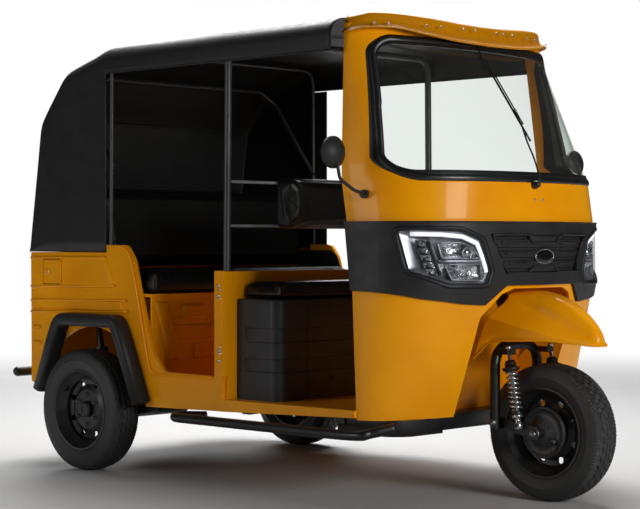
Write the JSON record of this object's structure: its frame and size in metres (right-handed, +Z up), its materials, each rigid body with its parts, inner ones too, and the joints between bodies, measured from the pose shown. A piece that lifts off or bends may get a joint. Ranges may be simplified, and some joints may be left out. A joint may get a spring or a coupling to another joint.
{
  "type": "auto rickshaw",
  "caption": "Three-wheeled passenger taxi with a steered front wheel, pressed-steel cab, fabric hood over open sides, bench seat and driver seat.",
  "frame": {"origin": "bottom centre of the bounding box, on the ground under the middle of the vehicle", "axes": "+X forward, +Y to the left, +Z up"},
  "size_m": [2.6649, 1.576, 1.7989],
  "materials": {
    "taxi_paint": "gloss",
    "black_moulding": "fine moulded grain",
    "lamp_lens": "clear moulded lens over a bright reflector",
    "tail_lens": "clear red moulding",
    "seal_rubber": "matte",
    "screen_glass": "laminated, clear",
    "plate_blank": "satin, blank",
    "black_steel": "semi-gloss black enamel",
    "grey_steel": "satin grey enamel",
    "seat_vinyl": "grained vinyl",
    "hood_cloth": "coated canvas",
    "engine_casting": "as cast",
    "spring_chrome": "plated",
    "tyre_rubber": "matte",
    "wheel_enamel": "semi-gloss black enamel"
  },
  "bodies": {
    "body": {"b_posts": "taxi_paint", "backrest_rails": "grey_steel", "bench_backrest": "seat_vinyl", "bench_base": "taxi_paint", "bench_cushion": "seat_vinyl", "bulkhead": "taxi_paint", "chassis": "black_steel", "dashboard": "black_moulding", "driver_backrest": "seat_vinyl", "driver_cushion": "seat_vinyl", "driver_seat_box": "black_moulding", "engine": "engine_casting", "fender_flares": "black_moulding", "floor_pan": "taxi_paint", "front_apron": "taxi_paint", "front_panel": "black_moulding", "headlamps": "lamp_lens", "hood_back": "hood_cloth", "hood_hoops": "grey_steel", "hood_roof": "hood_cloth", "hood_sides": "hood_cloth", "mirrors": "black_moulding", "quarter_panel_left": "taxi_paint", "quarter_panel_right": "taxi_paint", "rear_axles": "black_steel", "rear_bow": "grey_steel", "rear_bumper": "black_steel", "rear_dampers": "black_steel", "roof_visor": "taxi_paint", "silencer": "black_steel", "step_bars": "black_steel", "tail_lamps": "tail_lens", "tail_panel": "taxi_paint", "trailing_arms": "black_steel", "wheel_house": "taxi_paint", "windscreen_frame": "taxi_paint", "windscreen_glass": "screen_glass", "windscreen_seal": "seal_rubber", "wiper": "black_moulding"},
    "steering": {"front_fork": "black_steel", "front_links": "black_steel", "front_axle": "black_steel", "front_dampers": "spring_chrome", "front_mudguard": "taxi_paint", "handlebar": "black_steel", "grips": "seal_rubber", "instrument_pod": "black_moulding"},
    "front_wheel": {"front_tyre": "tyre_rubber", "front_wheel": "wheel_enamel"},
    "rear_right_wheel": {"rear_right_tyre": "tyre_rubber", "rear_right_wheel": "wheel_enamel"},
    "rear_left_wheel": {"rear_left_tyre": "tyre_rubber", "rear_left_wheel": "wheel_enamel"},
    "fuel_flap": {"fuel_flap": "taxi_paint"},
    "engine_lid": {"engine_lid": "taxi_paint", "number_plate": "plate_blank"}
  },
  "joints": [
    {"name": "steering", "type": "hinge", "parent": "body", "child": "steering", "pos_m": [0.9125, 0, 0.57], "axis": [-0.3746, 0, 0.9272], "range_deg": [-40, 40]},
    {"name": "front_wheel_spin", "type": "hinge", "parent": "steering", "child": "front_wheel", "pos_m": [1.0785, 0, 0.254], "axis": [0, 1, 0], "continuous": true},
    {"name": "rear_right_wheel_spin", "type": "hinge", "parent": "body", "child": "rear_right_wheel", "pos_m": [-0.8415, -0.63, 0.254], "axis": [0, 1, 0], "continuous": true},
    {"name": "rear_left_wheel_spin", "type": "hinge", "parent": "body", "child": "rear_left_wheel", "pos_m": [-0.8415, 0.63, 0.254], "axis": [0, 1, 0], "continuous": true},
    {"name": "fuel_flap_hinge", "type": "hinge", "parent": "body", "child": "fuel_flap", "pos_m": [-1.0445, -0.627, 0.826], "axis": [0, 0, 1], "range_deg": [0, 100]},
    {"name": "engine_lid_hinge", "type": "hinge", "parent": "body", "child": "engine_lid", "pos_m": [-1.2655, 0, 0.796], "axis": [0, 1, 0], "range_deg": [0, 80]}
  ]
}
